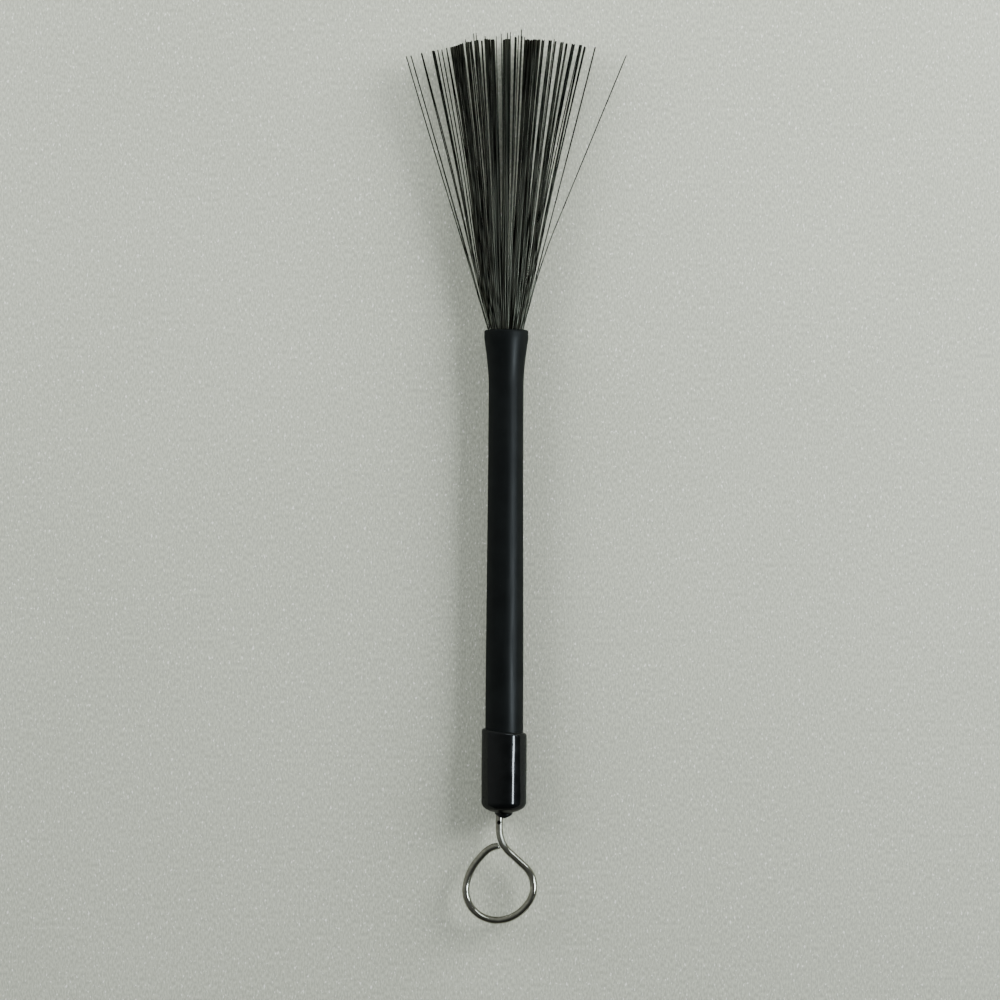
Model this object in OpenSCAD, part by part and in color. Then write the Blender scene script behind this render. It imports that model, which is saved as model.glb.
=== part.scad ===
// Retractable wire brush for drums: a rubber-covered tube, a fan of steel wires and a pull rod
// with a finger loop. It lies flat, wires towards +Y, loop towards -Y, on the plane z = 0.
// A "station" is a distance behind the mouth lip, along the handle's axis.

/* [Handle] */
// Bore radius of the aluminium tube
tube_bore_r = 5.1; // [5.1:0.05:5.4]
// Wall of the aluminium tube
tube_wall = 0.65; // [0.5:0.05:0.7]
// How far the tube's bore widens at the belled mouth
bell_rise = 1.65; // [1.5:0.05:1.7]
// Station of the tube's cut rear end
tube_end = 168; // [165:1:175]
// Outer radius of the rubber grip at its neck, just behind the flare
neck_r = 6.39; // [6.3:0.01:6.6]
// How far the grip's radius grows from the neck to the mouth lip
lip_rise = 1.71; // [1.65:0.01:1.9]
// How far the grip's radius grows from the neck to the end cap
butt_rise = 0.54; // [0.2:0.01:0.55]
// Rubber that laps over the tube's front edge
lip_lap = 1.2; // [1:0.1:1.5]
// Radius of the opening in the rubber lip
lip_bore_r = 7.15; // [7.1:0.05:7.3]

/* [End cap] */
// Outer radius of the end cap, which the handle rests on
cap_r = 8.25; // [8:0.05:9]
// Station of the cap's front rim, on the axis
cap_rim = 146.35; // [140:0.05:155]
// Slant of the rim, in degrees
rim_slant = 6; // [0:0.1:12]
// Radius of the cap's rounded rear shoulder
cap_shoulder_r = 3.2; // [2:0.1:4]
// Length of the nipple that the rod leaves through
nipple_len = 1.5; // [0.5:0.05:2]

/* [Pull rod] */
// Radius of the rod, which is one length of wire from the carrier to the loop's free end
rod_r = 1.3; // [1:0.05:1.35]
// Sideways jog in the rod where it passes through the cap
jog = 1.6; // [0.2:0.1:1.6]
// Bend radius of the finger loop's round part
loop_bend_r = 12.34; // [11:0.01:14]
// Radius of the bend between the straight rod and the loop
neck_bend_r = 11.7; // [11:0.05:16]
// Turn of that bend, in degrees
neck_turn = 47.7; // [44:0.1:49]

/* [Wires] */
// Diameter of one wire
wire_d = 0.34; // [0.3:0.01:0.34]
// Spacing of the wires where the ferrule grips them
wire_pitch = 0.42; // [0.42:0.01:0.43]
// Length of a wire in front of the ferrule
wire_len = 118.7; // [100:0.1:125]
// Half-width of the dense middle of the fan, at the tips
fan_half_w = 19.6; // [15:0.1:22]
// Extra reach of the loosest wires at the fan's two edges, left and right
edge_reach = [20, 13]; // [0:0.5:20]
// How many times thicker the fan is at its tips than at the ferrule
fan_thickening = 2.5; // [1.5:0.1:2.6]
// Sideways places, at the tips, where the wires part and leave a gap
partings = [-13, -10.4, -3.6, 1.3, 11.9, 20.8]; // [-25:0.1:25]

/* [Hidden] */

// Place in the frame: the lip's station puts the whole brush's middle at y = 0
lip_y = 53.82;
axis_z = cap_r;
play = 0.02;      // radial play between pieces that are pushed together
round_fn = 96;
outline_step = 1 / 8;

// Mouth: the flare runs from its flat front to where it meets the straight tube
flare_front = 3;
flare_end = 20;
swell_front = 25;
swell_end = 145;
lip_edge_r = 0.9;

// Guide bush in the butt of the tube
bush_front = 156.5;
bush_flange_r = 6.6;
bush_end = tube_end + 1.6;
bush_chamfer = 0.6;
rod_clearance = 0.08;

// End cap
cap_bore_r = neck_r + butt_rise + 2 * play;
cap_floor = bush_end + 0.4;
cap_shoulder = cap_floor + 2;
shoulder_turn = 63;
nipple_r = 3.4;
cap_hole_r = rod_r + jog + 0.15;

// Wire bundle: hexagonal packing inside a circle
ferrule_front = 12.5;
row_step = wire_pitch * sqrt(3) / 2;
bundle_r = 3.06;
half_rows = 8;
root_len = 12;
bend_ball = wire_d / 2 + 0.01;
tip_jitter = 0.75;
parting_w = 0.9;
parting_push = 1.1;
edge_power = 9;
trim_slope = 1.3;
trim_jitter = 0.35;
tall_tip = 2.6;
tall_power = 10;
// The stray wire is the last one of the middle row: a kink turns it away from the fan
stray_slopes = [0.254, 0.356];
stray_kink = 37;

// Ferrule, carrier and the friction ring in its groove
ferrule_bore_r = bundle_r + wire_d / 2 + 2 * play;
ferrule_wall = 0.68;
ferrule_end = 30.3;
crimps = [17, 21];
crimp_depth = 0.25;
crimp_w = 1.2;
spigot_front = 26;
carrier_front = 30.5;
carrier_end = 42;
carrier_r = 4.85;
carrier_chamfer = 0.5;
rod_front = 33;
ring_station = 36.2;
ring_r = 0.8;
ring_centre_r = tube_bore_r - play - ring_r;
groove_play = 0.05;
bumper_front = carrier_end + 0.1;
bumper_end = bumper_front + 1.9;
bumper_r = 4.5;

// Pull rod: straight, jog, straight, then the loop
jog_front = bush_end + 0.8;
jog_bend_r = 6;
jog_turn = acos(1 - jog / (2 * jog_bend_r));
jog_len = 2 * jog_bend_r * sin(jog_turn);
neck_station = 182.11;
slope_run = 7.3;
corner_bend_r = 9.91;
corner_turn = 78.8;
side_bend_r = 15.55;
side_turn = 31.75;
loop_turn = 53.85;
low_bend_r = 10.81;
low_turn = 70.27;
tail_bend_r = 18.3;
tail_turn = 34.24;
tail_run = 2.75;
tip_bend_r = 8.98;
tip_turn = 38.3;
tip_run = 0.4;
stake_station = 179.7;
stake_r = 0.75;
joint_swell = 0.01;

function clamp01(v) = min(1, max(0, v));
function smooth(t) = t * t * (3 - 2 * t);
function flare(s) = pow(clamp01((flare_end - s) / (flare_end - flare_front)), 1.6);
function swell(s) = smooth(clamp01((s - swell_front) / (swell_end - swell_front)));
function bell_r(s) = tube_bore_r + bell_rise * flare(s);
function grip_r(s) = neck_r + lip_rise * flare(s) + butt_rise * swell(s);
function noise(seed) = rands(-1, 1, 1, seed)[0];

// Stations of an outline from one end to the other, closer together along the flare
function stations(from, to) = concat(
    [for (t = [0 : outline_step : 1]) from + (flare_end - from) * t],
    [for (t = [outline_step : outline_step : 1]) flare_end + (to - flare_end) * t]);
function reversed(list) = [for (i = [len(list) - 1 : -1 : 0]) list[i]];

module turned(outline) {
    translate([0, lip_y, axis_z])
        rotate([90, 0, 0])
            rotate_extrude($fn = round_fn)
                polygon(outline);
}

module handle_tube() {
    stops = stations(lip_lap, tube_end);
    color("silver")
        turned(concat(
            [for (s = stops) [bell_r(s), s]],
            [for (s = reversed(stops)) [bell_r(s) + tube_wall, s]]));
}

module grip_sleeve() {
    inner = stations(lip_lap, tube_end);
    outer = stations(flare_front, tube_end);
    edge_c = [grip_r(0) - lip_edge_r, lip_edge_r];
    color([0.07, 0.08, 0.07])
        turned(concat(
            [[lip_bore_r, 0]],
            [for (a = [90 : -15 : 0]) edge_c + lip_edge_r * [cos(a), -sin(a)]],
            [for (s = outer) [grip_r(s), s]],
            [for (s = reversed(inner)) [bell_r(s) + tube_wall + play, s]],
            [[lip_bore_r, lip_lap - play]]));
}

module end_cap() {
    shoulder_c = [cap_r - cap_shoulder_r, cap_shoulder];
    last = shoulder_c + cap_shoulder_r * [cos(shoulder_turn), sin(shoulder_turn)];
    nipple_front = last[1] + (last[0] - nipple_r) * tan(90 - shoulder_turn);
    color([0.02, 0.02, 0.02])
        difference() {
            turned(concat(
                [[cap_bore_r, cap_rim - cap_r]],
                [[cap_r, cap_rim - cap_r]],
                [for (a = [0 : 5 : shoulder_turn]) shoulder_c + cap_shoulder_r * [cos(a), sin(a)]],
                [[nipple_r, nipple_front], [nipple_r - play, nipple_front + nipple_len]],
                [[cap_hole_r, nipple_front + nipple_len], [cap_hole_r, cap_floor]],
                [[cap_bore_r, cap_floor]]));
            translate([0, lip_y - cap_rim, axis_z])
                rotate([0, 0, -rim_slant])
                    translate([-2 * cap_r, 0, -2 * cap_r])
                        cube(4 * cap_r);
        }
}

module guide_bush() {
    body_r = tube_bore_r - play;
    color("white")
        turned([
            [rod_r + rod_clearance, bush_front],
            [body_r - bush_chamfer, bush_front],
            [body_r, bush_front + bush_chamfer],
            [body_r, tube_end + play],
            [bush_flange_r, tube_end + play],
            [bush_flange_r, bush_end],
            [rod_r + rod_clearance, bush_end]]);
}

module friction_ring() {
    color([0.15, 0.15, 0.15])
        translate([0, lip_y - ring_station, axis_z])
            rotate([90, 0, 0])
                rotate_extrude($fn = round_fn)
                    translate([ring_centre_r, 0])
                        circle(ring_r, $fn = 48);
}

// A straight length of the rod along -Y; what follows starts at its end
module run(length) {
    rotate([90, 0, 0])
        cylinder(h = length, r = rod_r, $fn = 48);
    translate([0, -length, 0])
        children();
}

// A ball a hair wider than the rod, so that the two lengths that meet here are one solid
module joined() {
    sphere(rod_r + joint_swell, $fn = 48);
    children();
}

// A bend of the rod; a positive turn is towards +X, and what follows leaves along the new heading
module bend(radius, turn) {
    if (turn < 0) {
        mirror([1, 0, 0])
            bend(radius, -turn)
                mirror([1, 0, 0])
                    children();
    } else {
        translate([radius, 0, 0]) {
            rotate([0, 0, 180])
                rotate_extrude(angle = turn, $fn = round_fn)
                    translate([radius, 0])
                        circle(rod_r, $fn = 48);
            rotate([0, 0, turn])
                translate([-radius, 0, 0])
                    children();
        }
    }
}

module pull_rod() {
    color([0.72, 0.70, 0.66])
        difference() {
            translate([0, lip_y - rod_front, axis_z])
                run(jog_front - rod_front)
                joined() bend(jog_bend_r, -jog_turn)
                joined() bend(jog_bend_r, jog_turn)
                joined() run(neck_station - jog_front - jog_len)
                joined() bend(neck_bend_r, neck_turn)
                joined() run(slope_run)
                joined() bend(corner_bend_r, -corner_turn)
                joined() bend(side_bend_r, -side_turn)
                joined() bend(loop_bend_r, -loop_turn)
                joined() bend(low_bend_r, -low_turn)
                joined() bend(tail_bend_r, -tail_turn)
                joined() run(tail_run)
                joined() bend(tip_bend_r, -tip_turn)
                joined() run(tip_run);
            translate([-jog - stake_r / 2, lip_y - stake_station, axis_z + rod_r + stake_r / 3])
                sphere(stake_r, $fn = 32);
        }
}

module wire_carrier() {
    groove_half = ring_r + groove_play;
    groove_floor = ring_centre_r - ring_r - groove_play;
    color("goldenrod")
        turned([
            [0, spigot_front],
            [ferrule_bore_r - play, spigot_front],
            [ferrule_bore_r - play, carrier_front],
            [carrier_r - carrier_chamfer, carrier_front],
            [carrier_r, carrier_front + carrier_chamfer],
            [carrier_r, ring_station - groove_half],
            [groove_floor, ring_station - groove_half],
            [groove_floor, ring_station + groove_half],
            [carrier_r, ring_station + groove_half],
            [carrier_r, carrier_end - carrier_chamfer],
            [carrier_r - carrier_chamfer, carrier_end],
            [rod_r + play, carrier_end],
            [rod_r + play, rod_front - play],
            [0, rod_front - play]]);
}

module clamp_ferrule() {
    outer_r = ferrule_bore_r + ferrule_wall;
    color([0.6, 0.6, 0.58])
        turned(concat(
            [[ferrule_bore_r, ferrule_front], [outer_r - crimp_depth, ferrule_front]],
            [[outer_r, ferrule_front + crimp_depth]],
            [for (c = crimps, side = [-1 : 1])
                [side == 0 ? outer_r - crimp_depth : outer_r, c + side * crimp_w / 2]],
            [[outer_r, ferrule_end], [ferrule_bore_r, ferrule_end]]));
}

module stop_bumper() {
    color([0.2, 0.2, 0.2])
        turned([
            [rod_r + play, bumper_front],
            [bumper_r, bumper_front],
            [bumper_r, bumper_end - carrier_chamfer],
            [bumper_r - carrier_chamfer, bumper_end],
            [rod_r + play, bumper_end]]);
}

// How many wires a row holds, and where wire number i of it leaves the ferrule
function row_half_w(k) = sqrt(bundle_r * bundle_r - pow(k * row_step, 2));
function row_count(k) = k % 2 == 0
    ? 2 * floor(row_half_w(k) / wire_pitch) + 1
    : 2 * floor(row_half_w(k) / wire_pitch + 0.5);
function root_x(k, i) = (i - (row_count(k) - 1) / 2) * wire_pitch;

// Tip of wire i in row k: spread evenly, loose at the edges, jittered, then parted into tufts
function spread(k, i) = 2 * i / (row_count(k) - 1) - 1;
function reach(k, side) = edge_reach[side < 0 ? 0 : 1] * pow(abs(noise(40 * k + side)), 2);
function even_x(k, i) = fan_half_w * spread(k, i)
    + reach(k, sign(spread(k, i))) * pow(spread(k, i), edge_power)
    + tip_jitter * noise(1000 + 40 * k + i);
function pushed(x, from) = parting_push * (x - from)
    * exp(-pow((x - from) / parting_w, 2) / 2);
function tip_x(k, i) = let (x = even_x(k, i))
    x + pushed(x, partings[0]) + pushed(x, partings[1]) + pushed(x, partings[2])
    + pushed(x, partings[3]) + pushed(x, partings[4]) + pushed(x, partings[5]);
function trimmed(k, i) = wire_len + trim_slope * spread(k, i)
    + trim_jitter * noise(2000 + 40 * k + i)
    + tall_tip * pow(abs(noise(3000 + 40 * k + i)), tall_power);

// A straight piece of wire of the given length, leaning by slopes in x and z for each unit of y
module strand(lean_x, lean_z, length) {
    heading = atan(lean_x);
    rotate([atan(lean_z * cos(heading)) - 90, 0, -heading])
        cylinder(h = length, d = wire_d, $fn = 16);
}

module wire(k, i) {
    slope = (tip_x(k, i) - root_x(k, i)) / wire_len;
    lift = k * row_step * (fan_thickening - 1) / wire_len;
    stray = k == 0 && i == row_count(k) - 1;
    translate([root_x(k, i), lip_y - ferrule_front, axis_z + k * row_step]) {
        rotate([90, 0, 0])
            cylinder(h = root_len, d = wire_d, $fn = 16);
        sphere(bend_ball, $fn = 16);
        if (stray) {
            strand(stray_slopes[0], lift, norm([1, stray_slopes[0]]) * stray_kink);
            translate([stray_slopes[0] * stray_kink, stray_kink, 0]) {
                rotate([90, 0, 0])
                    sphere(bend_ball, $fn = 16);
                strand(stray_slopes[1], lift, wire_len - stray_kink);
            }
        } else {
            strand(slope, lift, trimmed(k, i));
        }
    }
}

// Row 1 is the lowest row, row 9 the middle one
module wire_row(number) {
    k = number - half_rows - 1;
    color([0.18, 0.18, 0.16])
        for (i = [0 : row_count(k) - 1])
            wire(k, i);
}

handle_tube();
grip_sleeve();
end_cap();
guide_bush();
friction_ring();
pull_rod();
wire_carrier();
clamp_ferrule();
stop_bumper();
wire_row(1);  // wire_row_01
wire_row(2);  // wire_row_02
wire_row(3);  // wire_row_03
wire_row(4);  // wire_row_04
wire_row(5);  // wire_row_05
wire_row(6);  // wire_row_06
wire_row(7);  // wire_row_07
wire_row(8);  // wire_row_08
wire_row(9);  // wire_row_09
wire_row(10);  // wire_row_10
wire_row(11);  // wire_row_11
wire_row(12);  // wire_row_12
wire_row(13);  // wire_row_13
wire_row(14);  // wire_row_14
wire_row(15);  // wire_row_15
wire_row(16);  // wire_row_16
wire_row(17);  // wire_row_17
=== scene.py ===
"""A retractable wire drum brush, lying flat on a pale surface and seen from straight above."""

import math
import random

import bmesh
import bpy
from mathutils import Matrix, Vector, noise


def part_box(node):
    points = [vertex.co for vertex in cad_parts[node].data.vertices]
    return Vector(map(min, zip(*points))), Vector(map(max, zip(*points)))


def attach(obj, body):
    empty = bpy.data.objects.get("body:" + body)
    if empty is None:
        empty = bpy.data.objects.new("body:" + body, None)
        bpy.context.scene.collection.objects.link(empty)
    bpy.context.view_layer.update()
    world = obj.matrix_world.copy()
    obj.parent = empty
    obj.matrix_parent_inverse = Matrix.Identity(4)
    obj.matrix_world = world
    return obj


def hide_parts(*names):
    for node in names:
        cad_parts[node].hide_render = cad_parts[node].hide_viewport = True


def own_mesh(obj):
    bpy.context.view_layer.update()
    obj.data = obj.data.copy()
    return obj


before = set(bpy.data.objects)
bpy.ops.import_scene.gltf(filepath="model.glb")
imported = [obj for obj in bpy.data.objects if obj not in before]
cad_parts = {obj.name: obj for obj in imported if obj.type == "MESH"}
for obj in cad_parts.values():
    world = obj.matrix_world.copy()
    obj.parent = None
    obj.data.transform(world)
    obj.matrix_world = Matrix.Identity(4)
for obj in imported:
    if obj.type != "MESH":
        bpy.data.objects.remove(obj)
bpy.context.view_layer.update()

# ---------------------------------------------------------------- sizes, in metres

MM = 0.001
grip_low, grip_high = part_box("grip_sleeve")
cap_low, cap_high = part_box("end_cap")
ferrule_low, ferrule_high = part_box("clamp_ferrule")
LIP_Y = grip_high.y                       # stations are measured backwards from the mouth lip
AXIS_Z = (cap_low.z + cap_high.z) / 2
CAP_R = (cap_high.x - cap_low.x) / 2
LIP_R = (grip_high.x - grip_low.x) / 2
TUBE_END = LIP_Y - grip_low.y

ROD_R = 1.3 * MM
ROD_SIDES = 40
JOG = 1.6 * MM                            # the rod's sideways step inside the cap
STAKE = 179.7 * MM                        # the stake mark's station
STAKE_OFF_CENTRE = 0.15 * MM
DULL_BEHIND_STAKE = 4 * MM                # where fingers have dulled the rod
STAKE_PLACE = Vector((-JOG - STAKE_OFF_CENTRE, LIP_Y - STAKE, AXIS_Z + ROD_R))
DULL_PLACE = Vector((-JOG, LIP_Y - STAKE - DULL_BEHIND_STAKE, AXIS_Z + ROD_R))
MOUTH = Vector((0, LIP_Y, AXIS_Z))


def clamp01(value):
    return min(1.0, max(0.0, value))


def smooth(t):
    """An S-shaped rise from 0 to 1."""
    return t * t * (3 - 2 * t)


def arc(centre, radius, start, end, steps):
    """Points of an arc in the (radius, station) plane, from start to end in degrees."""
    angles = [math.radians(start + (end - start) * i / steps) for i in range(steps + 1)]
    return [(centre[0] + radius * math.cos(a), centre[1] + radius * math.sin(a)) for a in angles]


# ---------------------------------------------------------------- meshes

RIPPLE_AROUND = 3                         # how fast a ripple changes round the axis
RIPPLE_ALONG = 90                         # and along it, in cycles in a metre


def new_object(name, verts, faces, material):
    """A smooth-shaded object of one material, linked to the scene."""
    mesh = bpy.data.meshes.new(name)
    mesh.from_pydata(verts, [], faces)
    mesh.validate()
    for polygon in mesh.polygons:
        polygon.use_smooth = True
    mesh.materials.append(material)
    piece = bpy.data.objects.new(name, mesh)
    bpy.context.scene.collection.objects.link(piece)
    return piece


def turned(name, outline, material, sides=128, shift=None, ripple=0.0):
    """A closed outline of (radius, station) pairs turned about the handle's axis.
    shift(x, station) moves a point back along the axis; ripple is an uneven surface's depth."""
    verts, faces = [], []
    for radius, station in outline:
        for i in range(sides):
            a = 2 * math.pi * i / sides
            way = Vector((math.sin(a), 0, math.cos(a)))
            uneven = noise.noise(Vector((way.x * RIPPLE_AROUND, station * RIPPLE_ALONG,
                                         way.z * RIPPLE_AROUND)))
            r = radius + ripple * uneven
            back = station + (shift(r * way.x, station) if shift else 0)
            verts.append((r * way.x, LIP_Y - back, AXIS_Z + r * way.z))
    rings = len(outline)
    for k in range(rings):
        for i in range(sides):
            here, after = k * sides, (k + 1) % rings * sides
            j = (i + 1) % sides
            faces.append((here + i, here + j, after + j, after + i))
    return new_object(name, verts, faces, material)


def swept(name, points, radius, material, sides, chamfer=0.0, up=Vector((0, 0, 1))):
    """A round bar along a smooth line of points, closed at both ends."""
    verts, faces = [], []
    last = len(points) - 1
    centres = list(points)
    radii = [radius] * len(points)
    if chamfer:
        for end, way in ((0, points[0] - points[1]), (last, points[last] - points[last - 1])):
            rim = points[end] + way.normalized() * chamfer
            index = 0 if end == 0 else len(centres)
            centres.insert(index, rim)
            radii.insert(index, radius - chamfer)
    for k, centre in enumerate(centres):
        before = centres[max(k - 1, 0)]
        after = centres[min(k + 1, len(centres) - 1)]
        along = (after - before).normalized()
        side = along.cross(up).normalized()
        top = side.cross(along)
        for i in range(sides):
            a = 2 * math.pi * i / sides
            verts.append(centre + (side * math.cos(a) + top * math.sin(a)) * radii[k])
    for k in range(len(centres) - 1):
        for i in range(sides):
            j = (i + 1) % sides
            faces.append((k * sides + i, k * sides + j, (k + 1) * sides + j, (k + 1) * sides + i))
    faces.append(tuple(reversed(range(sides))))
    faces.append(tuple(range((len(centres) - 1) * sides, len(centres) * sides)))
    piece = new_object(name, verts, faces, material)
    for polygon in list(piece.data.polygons)[-2:]:
        polygon.use_smooth = False
    return piece


# ---------------------------------------------------------------- materials

SHEET_IOR = 2.2                           # a dense, thin gloss that brightens little at the edges
STAKE_SHADE_RING_R = 0.6 * MM                   # painted shade in the stake mark's dent: a dark ring round a grey middle
STAKE_SHADE_MIDDLE_R = 0.3 * MM
DULL_REACH = 4 * MM
DULLED = 0.24                             # roughness that the fingers add
PAINTED_LIGHT_REACH = 8 * MM                     # painted light: the wires' colour is made lighter this near the mouth's middle
PAINTED_LIGHT_FADE = 9


class Surface:
    """A principled material whose colour, roughness and bump are built from noise."""

    def __init__(self, name, metallic=0.0, specular=0.5, edge_tint=1.0, sheet=0.0,
                 sheet_roughness=0.1):
        self.material = bpy.data.materials.new(name)
        self.material.use_nodes = True
        self.tree = self.material.node_tree
        self.shader = self.tree.nodes["Principled BSDF"]
        self.shader.inputs["Metallic"].default_value = metallic
        self.shader.inputs["Specular IOR Level"].default_value = specular
        self.shader.inputs["Specular Tint"].default_value = (edge_tint, edge_tint, edge_tint, 1)
        self.shader.inputs["Coat Weight"].default_value = sheet
        self.shader.inputs["Coat Roughness"].default_value = sheet_roughness
        self.shader.inputs["Coat IOR"].default_value = SHEET_IOR
        self.place = self.tree.nodes.new("ShaderNodeTexCoord").outputs["Object"]

    def grain(self, scale, detail=3.0, roughness=0.5, stretch=(1, 1, 1)):
        """Noise with about scale cycles in a metre, stretched along the axes; 0 to 1."""
        mapping = self.tree.nodes.new("ShaderNodeMapping")
        mapping.inputs["Scale"].default_value = stretch
        self.tree.links.new(self.place, mapping.inputs["Vector"])
        texture = self.tree.nodes.new("ShaderNodeTexNoise")
        texture.inputs["Scale"].default_value = scale
        texture.inputs["Detail"].default_value = detail
        texture.inputs["Roughness"].default_value = roughness
        self.tree.links.new(mapping.outputs["Vector"], texture.inputs["Vector"])
        return texture.outputs["Fac"]

    def near(self, place, reach, fade=1.5):
        """1 within reach of a place, fading to 0 at fade times as far."""
        node = self.tree.nodes.new("ShaderNodeVectorMath")
        node.operation = "DISTANCE"
        node.inputs[1].default_value = place
        self.tree.links.new(self.place, node.inputs[0])
        return self.between(node.outputs["Value"], 1, 0, reach, reach * fade)

    def between(self, fac, low, high, start=0.35, end=0.65):
        """A number from low to high as fac goes from start to end."""
        node = self.tree.nodes.new("ShaderNodeMapRange")
        node.inputs["From Min"].default_value = start
        node.inputs["From Max"].default_value = end
        node.inputs["To Min"].default_value = low
        node.inputs["To Max"].default_value = high
        self.tree.links.new(fac, node.inputs["Value"])
        return node.outputs["Result"]

    def mixed(self, fac, first, second):
        """A colour from first to second; each is a colour or a socket."""
        node = self.tree.nodes.new("ShaderNodeMix")
        node.data_type = "RGBA"
        self.tree.links.new(fac, node.inputs["Factor"])
        for socket, value in ((node.inputs["A"], first), (node.inputs["B"], second)):
            if isinstance(value, tuple):
                socket.default_value = (*value, 1)
            else:
                self.tree.links.new(value, socket)
        return node.outputs["Result"]

    def total(self, first, second):
        """The sum of two sockets."""
        node = self.tree.nodes.new("ShaderNodeMath")
        self.tree.links.new(first, node.inputs[0])
        self.tree.links.new(second, node.inputs[1])
        return node.outputs["Value"]

    def colour(self, socket):
        self.tree.links.new(socket, self.shader.inputs["Base Color"])

    def rough(self, socket):
        self.tree.links.new(socket, self.shader.inputs["Roughness"])

    def gloss_rough(self, socket):
        self.tree.links.new(socket, self.shader.inputs["Coat Roughness"])

    def bump(self, layers):
        """layers are (height socket, depth in metres) pairs, one on top of another."""
        normal = None
        for height, depth in layers:
            node = self.tree.nodes.new("ShaderNodeBump")
            node.inputs["Strength"].default_value = 1.0
            node.inputs["Distance"].default_value = depth
            self.tree.links.new(height, node.inputs["Height"])
            if normal:
                self.tree.links.new(normal, node.inputs["Normal"])
            normal = node.outputs["Normal"]
        self.tree.links.new(normal, self.shader.inputs["Normal"])
        self.tree.links.new(normal, self.shader.inputs["Coat Normal"])


def rubber(name, dark, light, dust, sheet):
    """Matt black moulded rubber: fine grain, faint lengthways scuffs and a little pale dust."""
    s = Surface(name, specular=0.02, sheet=sheet, sheet_roughness=0.4)
    grain = s.grain(2600, detail=4, roughness=0.6)
    cloud = s.grain(120, detail=2)
    scuff = s.grain(900, detail=3, stretch=(1, 0.06, 1))
    dust_and_glint_specks = s.between(s.grain(3400, detail=1), 0, 1, 0.74, 0.8)
    body = s.mixed(s.between(cloud, 0, 1), dark, light)
    s.colour(s.mixed(dust_and_glint_specks, body, dust))
    s.rough(s.between(scuff, 0.47, 0.56))
    s.gloss_rough(s.between(scuff, 0.36, 0.46))
    s.bump([(grain, 0.010 * MM), (scuff, 0.006 * MM)])
    return s.material


def vinyl():
    """Glossy dip-moulded vinyl: slow waves, fine pimples and faint greasy smudges."""
    s = Surface("vinyl_cap", specular=0.02, sheet=0.145)
    waves = s.grain(110, detail=1)
    pimples = s.grain(1400, detail=2)
    smudge = s.grain(260, detail=4, roughness=0.65)
    s.colour(s.mixed(s.between(smudge, 0, 1), (0.0018, 0.0023, 0.0025), (0.0036, 0.0042, 0.0045)))
    s.rough(s.between(smudge, 0.25, 0.35))
    s.gloss_rough(s.between(smudge, 0.09, 0.15))
    s.bump([(waves, 0.03 * MM), (pimples, 0.002 * MM)])
    return s.material


def plated():
    """Nickel-plated rod: bright, with warm tarnish, drawing marks, small pits and a stake mark
    whose dent has painted shade.
    """
    s = Surface("plated_rod", metallic=1.0, edge_tint=0.12)
    tarnish = s.grain(420, detail=4, roughness=0.6)
    drawn = s.grain(2400, detail=2, stretch=(1, 0.08, 1))
    pits = s.between(s.grain(2600, detail=1), 0, 1, 0.7, 0.78)
    plate = s.mixed(s.between(tarnish, 0, 1), (0.25, 0.245, 0.20), (0.36, 0.35, 0.30))
    worn = s.mixed(pits, plate, (0.10, 0.09, 0.07))
    # painted shade in the stake mark's dent: a dark ring, then a grey middle
    dent_shade_ring = s.mixed(s.near(STAKE_PLACE, STAKE_SHADE_RING_R), worn, (0.012, 0.011, 0.009))
    s.colour(s.mixed(s.near(STAKE_PLACE, STAKE_SHADE_MIDDLE_R, fade=1.2), dent_shade_ring, (0.07, 0.066, 0.055)))
    dulled = s.between(s.near(DULL_PLACE, DULL_REACH), 0, DULLED, 0, 1)
    s.rough(s.total(s.between(tarnish, 0.16, 0.09), dulled))
    s.bump([(drawn, 0.004 * MM), (tarnish, 0.012 * MM)])
    return s.material


def wire_steel(name, oiled_light):
    """Dark hard-drawn steel wire, its tone changing from wire to wire, with painted light near
    the mouth: the colour is made lighter there."""
    s = Surface(name, metallic=0.92, edge_tint=0.25)
    tone = s.grain(1300, detail=1, stretch=(1, 0.012, 1))
    oil = s.grain(700, detail=3, stretch=(1, 0.2, 1))
    oiled = s.mixed(s.between(tone, 0, 1), (0.0015, 0.0015, 0.0011), oiled_light)
    # painted light: near the mouth the wires get this lighter colour
    painted_light_tone = s.mixed(s.between(tone, 0, 1), (0.003, 0.003, 0.0022), (0.185, 0.188, 0.15))
    s.colour(s.mixed(s.near(MOUTH, PAINTED_LIGHT_REACH, PAINTED_LIGHT_FADE), oiled, painted_light_tone))
    s.rough(s.between(oil, 0.36, 0.50))
    s.bump([(oil, 0.004 * MM)])
    return s.material


def turned_metal(name, dark, light, roughness):
    """Metal turned or drawn in a machine: fine rings round the axis and a dull film."""
    s = Surface(name, metallic=1.0)
    rings = s.grain(3000, detail=2, stretch=(0.05, 1, 0.05))
    film = s.grain(350, detail=4, roughness=0.6)
    s.colour(s.mixed(s.between(film, 0, 1), dark, light))
    s.rough(s.between(film, roughness - 0.07, roughness + 0.09))
    s.bump([(rings, 0.012 * MM)])
    return s.material


def nylon():
    """Moulded nylon, slightly yellowed and waxy."""
    s = Surface("nylon_bush", specular=0.45)
    s.shader.inputs["Subsurface Weight"].default_value = 0.1
    s.shader.inputs["Subsurface Radius"].default_value = (0.4 * MM, 0.35 * MM, 0.3 * MM)
    cloud = s.grain(300, detail=3)
    grain = s.grain(2200, detail=2)
    s.colour(s.mixed(s.between(cloud, 0, 1), (0.70, 0.68, 0.60), (0.82, 0.81, 0.76)))
    s.rough(s.between(cloud, 0.38, 0.5))
    s.bump([(grain, 0.01 * MM)])
    return s.material


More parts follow.
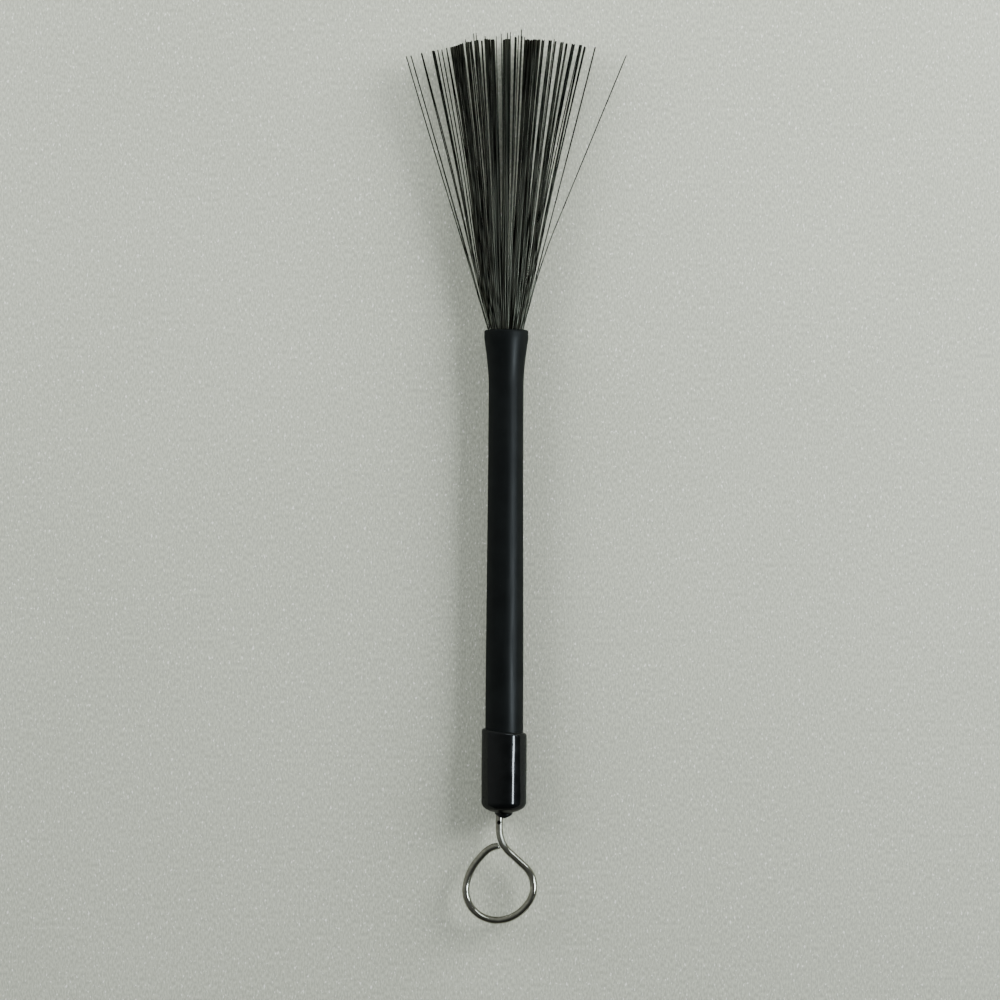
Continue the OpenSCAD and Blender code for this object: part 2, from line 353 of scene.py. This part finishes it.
def pale_floor():
    """A pale painted surface: a short streaky grain along Y and a few bright specks, which are
    painted glints.
    """
    s = Surface("pale_floor", specular=0.3)
    cloud = s.grain(9, detail=3)
    streaks = s.grain(1900, detail=1, roughness=0.5, stretch=(1, 0.34, 1))
    # painted glints: bright specks put into the floor's colour
    dust_and_glint_specks = s.between(s.grain(1250, detail=1, stretch=(1, 0.45, 1)), 0, 1, 0.66, 0.72)
    light = s.mixed(s.between(cloud, 0, 1), (0.655, 0.683, 0.583), (0.685, 0.712, 0.610))
    dull = s.mixed(s.between(cloud, 0, 1), (0.47, 0.492, 0.415), (0.495, 0.517, 0.439))
    s.colour(s.mixed(dust_and_glint_specks, s.mixed(s.between(streaks, 0, 1, 0.36, 0.64), dull, light),
                     (0.96, 0.96, 0.92)))
    s.rough(s.between(cloud, 0.55, 0.65))
    s.bump([(streaks, 0.05 * MM)])
    return s.material


GRIP_RUBBER = rubber("rubber_grip", (0.0033, 0.0042, 0.0044), (0.0053, 0.0065, 0.0068),
                     (0.030, 0.032, 0.032), 0.058)
RING_RUBBER = rubber("rubber_ring", (0.010, 0.010, 0.010), (0.020, 0.020, 0.020),
                     (0.06, 0.06, 0.06), 0.2)
VINYL = vinyl()
PLATED = plated()
WIRE_STEEL = wire_steel("steel_wire", (0.076, 0.078, 0.062))
LOOSE_STEEL = wire_steel("steel_wire_loose", (0.04, 0.041, 0.034))
ALUMINIUM = turned_metal("aluminium_tube", (0.55, 0.56, 0.57), (0.74, 0.75, 0.76), 0.34)
BRASS = turned_metal("brass_carrier", (0.45, 0.33, 0.13), (0.66, 0.50, 0.22), 0.3)
FERRULE_STEEL = turned_metal("steel_ferrule", (0.36, 0.36, 0.35), (0.55, 0.55, 0.53), 0.36)
NYLON = nylon()
FLOOR = pale_floor()


# ---------------------------------------------------------------- grip sleeve

FLARE_FRONT = 3 * MM
FLARE_END = 20 * MM
SWELL_FRONT = 25 * MM
SWELL_END = 145 * MM
NECK_R = 6.39 * MM
SWELL_RISE = 0.54 * MM
LIP_BORE_R = 7.15 * MM
LIP_LAP = 1.2 * MM
LIP_EDGE_R = 0.85 * MM
LIP_INNER_EDGE_R = 0.1 * MM
SLEEVE_BORE_R = 5.77 * MM
SLEEVE_BELL = 1.65 * MM
FLARE_CURVE = 1.6
GRIP_RINGS, GRIP_CROWDING = 110, 1.35     # rings along the outside, and how they crowd to the lip
BORE_RINGS, BORE_CROWDING = 24, 1.8
GRIP_RIPPLE = 0.02 * MM


def flare(s):
    """How far the mouth has flared at a station, 0 to 1."""
    return clamp01((FLARE_END - s) / (FLARE_END - FLARE_FRONT)) ** FLARE_CURVE


def grip_radius(s):
    """The sleeve's outer radius at a station behind the rounded lip."""
    swell = smooth(clamp01((s - SWELL_FRONT) / (SWELL_END - SWELL_FRONT)))
    return NECK_R + (LIP_R - NECK_R) * flare(s) + SWELL_RISE * swell


def make_grip():
    """The rubber sleeve: round the lip, back along the outside and forward along the bore."""
    outline = [(LIP_BORE_R, LIP_LAP)]
    inner_corner = (LIP_BORE_R + LIP_INNER_EDGE_R, LIP_INNER_EDGE_R)
    outline += arc(inner_corner, LIP_INNER_EDGE_R, 180, 270, steps=3)
    outline += arc((LIP_R - LIP_EDGE_R, LIP_EDGE_R), LIP_EDGE_R, 270, 360, steps=10)
    for i in range(1, GRIP_RINGS + 1):
        s = LIP_EDGE_R + (TUBE_END - LIP_EDGE_R) * (i / GRIP_RINGS) ** GRIP_CROWDING
        outline.append((grip_radius(s), s))
    for i in range(BORE_RINGS + 1):
        s = TUBE_END + (LIP_LAP - TUBE_END) * (1 - (1 - i / BORE_RINGS) ** BORE_CROWDING)
        outline.append((SLEEVE_BORE_R + SLEEVE_BELL * flare(s), s))
    grip = turned("grip_rubber", outline, GRIP_RUBBER, ripple=GRIP_RIPPLE)
    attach(grip, "handle")
    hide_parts("grip_sleeve")


# ---------------------------------------------------------------- end cap

RIM = 146.2 * MM
RIM_SLANT = math.tan(math.radians(6))
RIM_FADE = 7 * MM
RIM_EDGE_R = 1.05 * MM
RIM_INNER_EDGE_R = 0.12 * MM
CAP_BORE_R = 6.98 * MM
CAP_FLOOR = 170 * MM
SHOULDER_R = 3.2 * MM
SHOULDER = 172 * MM
SHOULDER_TURN = 63
NIPPLE_R = 3.3 * MM
NIPPLE_END = 177.95 * MM
CAP_HOLE_R = 2.96 * MM
PINCH_FROM = 175.6 * MM                   # behind this the nipple's sides are drawn in
PINCH = 1.25 * MM
PINCH_CURVE = 1.5
SIDE_RINGS = 40
SLOPE_RINGS = 6                           # from the shoulder down to the nipple
NIPPLE_RINGS = 9
CAP_RIPPLE = 0.04 * MM


def make_cap():
    """The dipped cap: round its slanted rim, back over the shoulder to the nipple, and its bore."""
    outline = arc((CAP_BORE_R + RIM_INNER_EDGE_R, RIM + RIM_INNER_EDGE_R), RIM_INNER_EDGE_R,
                  180, 270, steps=4)
    outline += arc((CAP_R - RIM_EDGE_R, RIM + RIM_EDGE_R), RIM_EDGE_R, 270, 360, steps=12)
    outline += [(CAP_R, RIM + RIM_EDGE_R + (SHOULDER - RIM - RIM_EDGE_R) * i / SIDE_RINGS)
                for i in range(1, SIDE_RINGS)]
    shoulder = arc((CAP_R - SHOULDER_R, SHOULDER), SHOULDER_R, 0, SHOULDER_TURN, steps=12)
    outline += shoulder
    last_r, last_s = shoulder[-1]
    front = last_s + (last_r - NIPPLE_R) * math.tan(math.radians(90 - SHOULDER_TURN))
    for i in range(1, SLOPE_RINGS):
        share = i / SLOPE_RINGS
        outline.append((last_r + (NIPPLE_R - last_r) * share, last_s + (front - last_s) * share))
    rim_width = NIPPLE_R - CAP_HOLE_R
    for i in range(NIPPLE_RINGS + 1):
        a = math.radians(90 * i / NIPPLE_RINGS)
        outline.append((CAP_HOLE_R + rim_width * math.cos(a),
                        front + (NIPPLE_END - front) * math.sin(a)))
    outline += [(CAP_HOLE_R, CAP_FLOOR), (CAP_BORE_R, CAP_FLOOR)]

    def slanted(x, s):
        """How far back a point of the cap is moved: its rim slants, its nipple is drawn in."""
        slant = RIM_SLANT * x * (1 - smooth(clamp01((s - RIM) / RIM_FADE)))
        pinch = PINCH * (abs(x) / NIPPLE_R) ** PINCH_CURVE
        return slant - pinch * clamp01((s - PINCH_FROM) / (NIPPLE_END - PINCH_FROM))

    cap = turned("cap_vinyl", outline, VINYL, shift=slanted, ripple=CAP_RIPPLE)
    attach(cap, "handle")
    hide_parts("end_cap")


# ---------------------------------------------------------------- pull rod and finger loop

ROD_FRONT = 33 * MM
JOG_FRONT = 170.4 * MM
JOG_BEND_R = 6 * MM
NECK = 182.11 * MM
NECK_BEND_R, NECK_TURN = 11.7 * MM, 47.7
SLOPE_RUN = 7.55 * MM
LOOP_BENDS = [(9.91 * MM, 78.8), (15.55 * MM, 31.75), (12.34 * MM, 53.85), (10.81 * MM, 70.27),
              (18.3 * MM, 34.24)]
TAIL_RUN = 2.75 * MM
TIP_BEND_R, TIP_TURN = 8.98 * MM, 38.3
TIP_RUN = 0.5 * MM
TIP_SLANT = 0.32                          # how far the cut end leans, for each unit across it
TIP_TAPER = 0.93
TIP_RINGS = 16                            # the rings at the cut end that may be leaned and tapered
TIP_REACH, TIP_FADE = 2 * ROD_R, 3 * ROD_R
STAKE_R = 0.75 * MM
STAKE_DEPTH = 0.4 * MM
# The stake mark's dent and the rim pushed up round it; distances are in STAKE_R
STAKE_REACH = 1.6
DENT_STEEPNESS = 1.5
STAKE_RIM, STAKE_RIM_STEEPNESS, STAKE_RIM_SHARE = 1.05, 4, 0.25
ROD_STEP = 0.3 * MM
ROD_CHAMFER = 0.12 * MM


def rod_line():
    """The rod's centre line: runs and bends, one after another, from the carrier to the cut end."""
    jog_turn = math.degrees(math.acos(1 - JOG / (2 * JOG_BEND_R)))
    jog_len = 2 * JOG_BEND_R * math.sin(math.radians(jog_turn))
    parts = [("run", JOG_FRONT - ROD_FRONT), ("bend", JOG_BEND_R, -jog_turn),
             ("bend", JOG_BEND_R, jog_turn), ("run", NECK - JOG_FRONT - jog_len),
             ("bend", NECK_BEND_R, NECK_TURN), ("run", SLOPE_RUN)]
    parts += [("bend", radius, -turn) for radius, turn in LOOP_BENDS]
    parts += [("run", TAIL_RUN), ("bend", TIP_BEND_R, -TIP_TURN), ("run", TIP_RUN)]
    here = Vector((0, LIP_Y - ROD_FRONT, AXIS_Z))
    heading = -90.0
    points = [here.copy()]
    for part in parts:
        turn = part[2] if part[0] == "bend" else 0.0
        length = part[1] if part[0] == "run" else part[1] * math.radians(abs(turn))
        steps = max(1, round(length / ROD_STEP))
        for _ in range(steps):
            middle = math.radians(heading + turn / steps / 2)
            chord = length / steps
            if turn:
                half = math.radians(abs(turn)) / steps / 2
                chord = 2 * part[1] * math.sin(half)
            here = here + Vector((math.cos(middle), math.sin(middle), 0)) * chord
            heading += turn / steps
            points.append(here.copy())
    return points


def make_rod():
    """The bent rod, its end cut at a slant, with the stake mark's dent behind the cap."""
    line = rod_line()
    rod = swept("pull_rod_wire", line, ROD_R, PLATED, ROD_SIDES, chamfer=ROD_CHAMFER)
    end, along = line[-1], (line[-1] - line[-2]).normalized()
    across = along.cross(Vector((0, 0, 1)))
    for vertex in rod.data.vertices[-TIP_RINGS * ROD_SIDES:]:
        lateral = (vertex.co - end).dot(across)
        if (vertex.co - end).length < TIP_REACH:
            reach = smooth(clamp01(1 + (vertex.co - end).dot(along) / TIP_FADE))
            vertex.co += along * lateral * TIP_SLANT * reach
            vertex.co -= across * lateral * (1 - TIP_TAPER) * reach
    for vertex in rod.data.vertices:
        distance = (vertex.co - STAKE_PLACE).length / STAKE_R
        if distance < STAKE_REACH:
            dent = math.exp(-(distance * DENT_STEEPNESS) ** 2) * STAKE_DEPTH
            raised = math.exp(-((distance - STAKE_RIM) * STAKE_RIM_STEEPNESS) ** 2)
            vertex.co.z += raised * STAKE_DEPTH * STAKE_RIM_SHARE - dent
    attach(rod, "pull_rod")
    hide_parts("pull_rod")


# ---------------------------------------------------------------- wires

WIRE_R = 0.17 * MM
LOOSE_WIRE_R = 0.22 * MM
LOOSE_FROM = 22 * MM                      # wires whose tips are further out stand on their own
WIRE_SIDES = 7
WIRE_RINGS = 18
BEND_REACH = 1.6 * MM                     # a wire's bend at the ferrule takes this much either side
BOW = 0.35 * MM                           # most a wire bows away from its straight line
BOW_RISE = 0.6                            # most it bows up or down, as a share of sideways
WAVE_SHARE = 0.4                          # a second, S-shaped bow, as a share of the first
BUNDLE_R = 3.06 * MM
FAN_THINNING = 0.75                       # the fan's thickness at the tips, as a share of CAD's
CUT_Y = 159.85 * MM                       # where the wires are cut, in the middle of the fan
CUT_LEAN = -0.14                          # the cut's lean, for each unit of height over the axis
CUT_JITTER = 0.3 * MM
STRAY_TIP = (43.2 * MM, 154.3 * MM)
STRAY_SMOOTHED = 0.9                      # share of the stray wire along which bends are rounded
KINK_STEPS, KINK_REACH = (-2, -1, 0, 1, 2), 0.05
MERGE_DISTANCE = 0.001 * MM
CLUSTER_GAP = 3 * MM                      # vertices further apart than this are at another bend
EVENING, EVENING_FADE = 10.4, 5           # how strongly the wires spread evenly above the mouth
TUFT_JITTER = 0.3                         # a tip's random shift, as a share of its room in a tuft
WIRE_SEED = 45

# The fan's tips from left to right as tufts: middle, width, wires, how far they overtop the cut;
# millimetres. A pair 0.2 wide reads as one strong line.
TUFTS = [
    (-37.1, 0, 1, 0), (-35.4, 0.2, 2, 0), (-31.4, 0.2, 2, 0), (-27.2, 1.2, 3, 0),
    (-25.7, 0, 1, 0), (-24.1, 0, 1, 0), (-22.5, 0.2, 2, 0), (-18.8, 4.8, 26, 0),
    (-15.6, 0, 1, 1.3), (-14.4, 2.3, 12, 0), (-12.6, 0, 1, 2.6), (-11.7, 0, 1, 2.6),
    (-11.6, 1.5, 7, 0), (-9.6, 0.6, 3, 0), (-8.4, 0, 1, 1.5), (-7.6, 2.1, 12, 0.3),
    (-5.6, 1.3, 9, 0), (-4.3, 0, 1, 1.4), (-2.5, 0, 1, 1.9), (-0.6, 2.6, 19, 0),
    (-0.2, 0.25, 2, 2.3), (0.9, 0, 1, 3.0), (2.85, 0.7, 4, 0.8), (3.8, 0, 1, 1.7),
    (5.0, 0.5, 3, 1.0), (4.9, 0.2, 2, 3.4), (7.0, 1.6, 10, 0), (6.1, 0, 1, 0.9),
    (9.9, 3.9, 26, 0), (12.8, 1.0, 7, 0), (15.5, 1.2, 9, 0), (16.9, 0, 1, 0.7),
    (17.4, 0.5, 3, 0.2), (19.7, 1.3, 7, 0), (21.4, 0.6, 4, 0), (23.7, 1.1, 4, 0),
    (26.6, 0.7, 3, 0), (28.1, 0.2, 2, 0), (31.9, 0.2, 2, 0)]
# How far behind the middle the cut lies at places across the fan, millimetres
CUT_LINE = [(-37, 6.3), (-31.4, 5.1), (-27.4, 4.3), (-21.2, 3.2), (-16.4, 1.5), (-12, 0.3),
            (0, 0), (11.7, 0), (15.7, 0.4), (21.5, 1.3), (27.4, 2.2), (32, 2.8)]


def centre_lines(node):
    """Each wire of a CAD row as its root, its bends and its tip."""
    shape = bmesh.new()
    shape.from_mesh(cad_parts[node].data)
    bmesh.ops.remove_doubles(shape, verts=shape.verts, dist=MERGE_DISTANCE)
    lines, seen = [], set()
    for start in shape.verts:
        if start in seen:
            continue
        seen.add(start)
        group, queue = [], [start]
        while queue:
            vertex = queue.pop()
            group.append(vertex.co.copy())
            for edge in vertex.link_edges:
                other = edge.other_vert(vertex)
                if other not in seen:
                    seen.add(other)
                    queue.append(other)
        group.sort(key=lambda co: co.y)
        clusters = [[group[0]]]
        for co in group[1:]:
            if co.y - clusters[-1][-1].y > CLUSTER_GAP:
                clusters.append([])
            clusters[-1].append(co)
        lines.append([sum(c, Vector()) / len(c) for c in clusters])
    shape.free()
    return sorted(lines, key=lambda line: line[-1].x)


def behind_cut(place):
    """How far behind the fan's middle the wires are cut at a place across it."""
    for (x0, drop0), (x1, drop1) in zip(CUT_LINE, CUT_LINE[1:]):
        if place <= x1:
            return drop0 + (drop1 - drop0) * clamp01((place - x0) / (x1 - x0))
    return CUT_LINE[-1][1]


def tuft_tips(chance):
    """(x, y at the axis's height) of every tip in the tufts, from left to right, in metres."""
    tips = []
    for middle, width, count, over in TUFTS:
        for i in range(count):
            jitter = TUFT_JITTER * chance.uniform(-1, 1) / count
            place = middle + width * ((i + 0.5) / count - 0.5 + jitter)
            y = CUT_Y + (over - behind_cut(place)) * MM + chance.uniform(-1, 1) * CUT_JITTER
            tips.append((place * MM, y))
    return sorted(tips)


def along_polyline(line, share):
    """The point a share of the way along a line of points."""
    lengths = [(b - a).length for a, b in zip(line, line[1:])]
    left = share * sum(lengths)
    for (a, b), length in zip(zip(line, line[1:]), lengths):
        if left <= length:
            return a.lerp(b, left / length)
        left -= length
    return line[-1].copy()


def sideways(chance):
    """A random way across a wire, up to 1 long to either side."""
    return Vector((chance.uniform(-1, 1), 0, chance.uniform(-BOW_RISE, BOW_RISE)))


def wire_points(line, tip, share, chance):
    """A smooth line for one wire: straight in the ferrule, a short bend, then a faint bow. share
    is its place in the fan, 0 to 1: above the mouth the wires spread evenly, tufts form later."""
    root, bend = line[0], line[1]
    left, right = (-BUNDLE_R, TUFTS[0][0] * MM), (BUNDLE_R, TUFTS[-1][0] * MM)
    height = bend.z - AXIS_Z + (line[-1].z - bend.z) * FAN_THINNING
    end = Vector((tip[0], tip[1] + height * CUT_LEAN, AXIS_Z + height))
    bow = sideways(chance) * BOW
    wave = sideways(chance) * BOW * WAVE_SHARE
    stray = len(line) > 3
    free = [bend, *line[2:-1], end]
    points = [root, bend - (bend - root).normalized() * BEND_REACH]
    rings = WIRE_RINGS * 2 if stray else WIRE_RINGS
    ahead = BEND_REACH / (end - bend).length
    for i in range(rings + 1):
        t = ahead + (1 - ahead) * i / rings
        if stray and t < STRAY_SMOOTHED:
            at = sum((along_polyline(free, clamp01(t + d * KINK_REACH)) for d in KINK_STEPS),
                     Vector()) / len(KINK_STEPS)
        else:
            at = along_polyline(free, t)
        if not stray:
            edges = [foot + (top - foot) * t for foot, top in (left, right)]
            even = edges[0] + (edges[1] - edges[0]) * share
            at.x += (even - at.x) * EVENING * t * (1 - t) ** EVENING_FADE
            at += bow * math.sin(math.pi * t) * t + wave * math.sin(2 * math.pi * t)
        points.append(at)
    return points


def make_wires():
    """Each wire of each CAD row as a piece of its own, its tip moved to a place in a tuft."""
    chance = random.Random(WIRE_SEED)
    rows = sorted(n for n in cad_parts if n.startswith("wire_row_"))
    wires = [(row, line) for row in rows for line in centre_lines(row)]
    stray = max(wires, key=lambda wire: len(wire[1]))
    wires.remove(stray)
    wires.sort(key=lambda wire: wire[1][-1].x)
    tips = tuft_tips(chance)
    wires.append(stray)
    tips.append(STRAY_TIP)
    for count, ((row, line), tip) in enumerate(zip(wires, tips, strict=True), 1):
        points = wire_points(line, tip, count / len(wires), chance)
        loose = abs(tip[0]) > LOOSE_FROM
        radius, steel = (LOOSE_WIRE_R, LOOSE_STEEL) if loose else (WIRE_R, WIRE_STEEL)
        wire = swept(f"wire_{count:03d}", points, radius, steel, WIRE_SIDES)
        spread = points[-1] - line[1]
        spread.y = 0
        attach(wire, "pull_rod")
        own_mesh(wire)
        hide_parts(row)


# ---------------------------------------------------------------- pieces kept from CAD

CAD_LOOKS = {"handle_tube": ALUMINIUM, "guide_bush": NYLON, "friction_ring": RING_RUBBER,
             "wire_carrier": BRASS, "clamp_ferrule": FERRULE_STEEL, "stop_bumper": RING_RUBBER}


def dress_cad():
    """Give the pieces that stay as CAD made them their materials."""
    for name, look in CAD_LOOKS.items():
        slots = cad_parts[name].data.materials
        slots.clear()
        slots.append(look)


# ---------------------------------------------------------------- stage

SCALE = 0.365 * MM                        # one picture unit at the height of the handle's axis
PICTURE = 1000
VIEW_CENTRE = Vector((-2.0 * MM, -8.24 * MM, 0))
VIEW_ROLL = math.radians(0.31)
VIEW_DISTANCE = 1.2
SENSOR_WIDTH = 36
NEAR_CLIP = 0.01
FLOOR_HALF = 3.0


def make_floor():
    h = FLOOR_HALF
    floor = new_object("floor", [(-h, -h, 0), (h, -h, 0), (h, h, 0), (-h, h, 0)],
                       [(0, 1, 2, 3)], FLOOR)


def area_light(name, place, length, width, radiance, tint, soft=True, glint=True):
    """A rectangle facing the brush, its length along Y. A soft one lights matt surfaces, and one
    that glints shows in glossy ones."""
    lamp = bpy.data.lights.new(name, "AREA")
    lamp.shape = "RECTANGLE"
    lamp.size = length
    lamp.size_y = width
    lamp.energy = math.pi * radiance * length * width
    lamp.color = tint
    light = bpy.data.objects.new(name, lamp)
    light.location = place
    facing = Vector((0, place[1], 0)) - Vector(place)
    light.rotation_euler = facing.to_track_quat("-Z", "Y").to_euler()
    light.visible_diffuse = soft
    light.visible_glossy = glint
    bpy.context.scene.collection.objects.link(light)


def make_lights():
    neutral, cool = (0.98, 1.0, 0.98), (0.80, 0.93, 1.0)
    area_light("soft_right", (0.85, 0.52, 0.48), 0.7, 0.7, 15.4, neutral, glint=False)
    area_light("soft_left", (-0.85, 0.52, 0.48), 0.7, 0.7, 7.2, neutral, glint=False)
    area_light("window", (0.83, -0.24, 0.76), 0.38, 0.10, 100, cool, soft=False)
    area_light("low_window", (1.10, 0.06, 0.49), 0.16, 0.20, 20, cool, soft=False)
    area_light("corner_window", (0.60, 0.60, 0.85), 0.15, 0.80, 13, cool, soft=False)


# How bright the room is, from the way opposite to ROOM_AXIS to the way along it
ROOM_AXIS = (-0.5, 0.85, 0)
ROOM = [(0.0, 0.06), (0.32, 0.07), (0.5, 0.23), (0.75, 0.50), (1.0, 0.58)]
ROOM_TINT = (0.95, 1.0, 0.97)


def make_room():
    """Soft light from all round, dark on one side and bright on the other."""
    world = bpy.data.worlds.new("soft_room")
    world.use_nodes = True
    tree = world.node_tree
    along = tree.nodes.new("ShaderNodeVectorMath")
    along.operation = "DOT_PRODUCT"
    along.inputs[1].default_value = ROOM_AXIS
    tree.links.new(tree.nodes.new("ShaderNodeTexCoord").outputs["Generated"], along.inputs[0])
    share = tree.nodes.new("ShaderNodeMapRange")
    share.inputs["From Min"].default_value = -1
    tree.links.new(along.outputs["Value"], share.inputs["Value"])
    ramp = tree.nodes.new("ShaderNodeValToRGB")
    stops = ramp.color_ramp.elements
    for place, _ in ROOM[1:-1]:
        stops.new(place)
    for stop, (place, level) in zip(stops, ROOM):
        stop.position = place
        stop.color = (*(level * part for part in ROOM_TINT), 1)
    tree.links.new(share.outputs["Result"], ramp.inputs["Fac"])
    tree.links.new(ramp.outputs["Color"], tree.nodes["Background"].inputs["Color"])
    bpy.context.scene.world = world


def make_camera():
    """Straight above the brush, with a long lens."""
    lens = bpy.data.cameras.new("camera")
    lens.sensor_width = SENSOR_WIDTH
    lens.angle = 2 * math.atan(SCALE * PICTURE / 2 / VIEW_DISTANCE)
    lens.clip_start = NEAR_CLIP
    camera = bpy.data.objects.new("camera", lens)
    camera.location = VIEW_CENTRE + Vector((0, 0, AXIS_Z + VIEW_DISTANCE))
    camera.rotation_euler = (0, 0, VIEW_ROLL)
    bpy.context.scene.collection.objects.link(camera)
    bpy.context.scene.camera = camera


make_camera()
make_grip()
make_cap()
make_rod()
make_wires()
dress_cad()
make_floor()
make_lights()
make_room()
